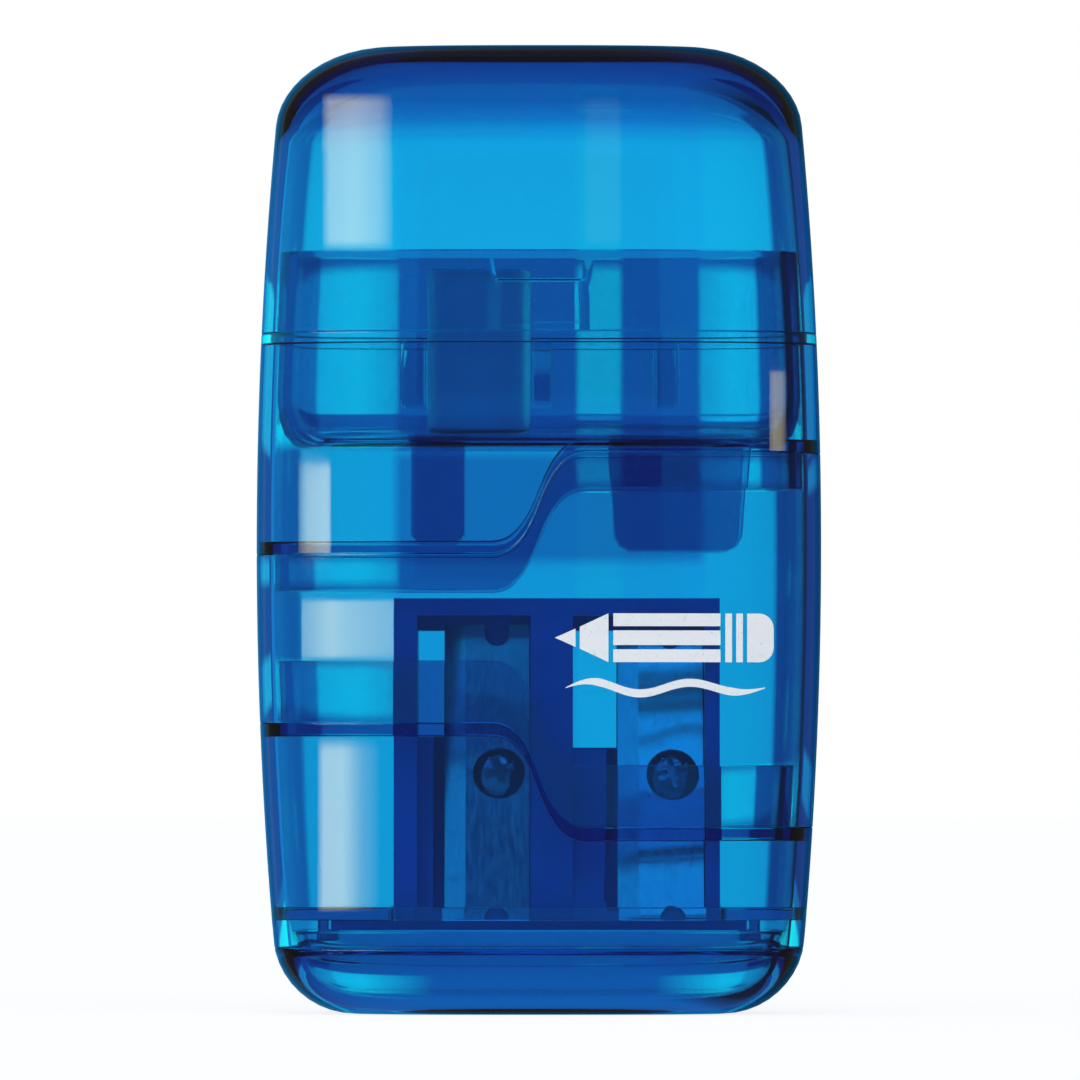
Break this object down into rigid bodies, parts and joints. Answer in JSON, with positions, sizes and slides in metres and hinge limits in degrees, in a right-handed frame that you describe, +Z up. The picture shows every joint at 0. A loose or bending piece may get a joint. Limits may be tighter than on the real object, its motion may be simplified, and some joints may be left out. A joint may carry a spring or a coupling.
{
  "type": "canister pencil sharpener",
  "caption": "Slim barrel-shaped canister pencil sharpener for standard and jumbo pencils, with a shavings container and a capped eraser compartment.",
  "frame": {"origin": "centre of the flat foot under the bottom cover", "axes": "+Z up through the cap, +X to the right as seen from the blades' side, +Y from the front with the blades to the back"},
  "size_m": [0.0468, 0.022, 0.08],
  "materials": {
    "clear_blue_shell": "polished translucent",
    "clear_blue_inner": "polished translucent",
    "clear_blue_cover": "polished translucent",
    "navy_block": "satin moulded",
    "eraser_vinyl": "translucent matte",
    "white_print": "printed ink",
    "blade_steel": "ground",
    "screw_steel": "polished"
  },
  "bodies": {
    "sharpener_unit": {"sharpener_shell": "clear_blue_shell", "sharpener_block": "navy_block", "standard_blade": "blade_steel", "jumbo_blade": "blade_steel", "standard_blade_screw": "screw_steel", "jumbo_blade_screw": "screw_steel"},
    "container_unit": {"shavings_container": "clear_blue_shell", "holder_band": "clear_blue_shell", "eraser_tray": "clear_blue_inner"},
    "cap": {"eraser_cap": "clear_blue_shell"},
    "eraser": {"eraser": "eraser_vinyl"},
    "cover": {"bottom_cover": "clear_blue_cover"}
  },
  "joints": [
    {"name": "container_lift", "type": "slide", "parent": "sharpener_unit", "child": "container_unit", "axis": [0, 0, 1], "range_m": [0, 0.03]},
    {"name": "cap_lift", "type": "slide", "parent": "container_unit", "child": "cap", "axis": [0, 0, 1], "range_m": [0, 0.025]},
    {"name": "eraser_lift", "type": "slide", "parent": "container_unit", "child": "eraser", "axis": [0, 0, 1], "range_m": [0, 0.014]},
    {"name": "cover_pull", "type": "slide", "parent": "sharpener_unit", "child": "cover", "axis": [0, 0, -1], "range_m": [0, 0.03]}
  ]
}
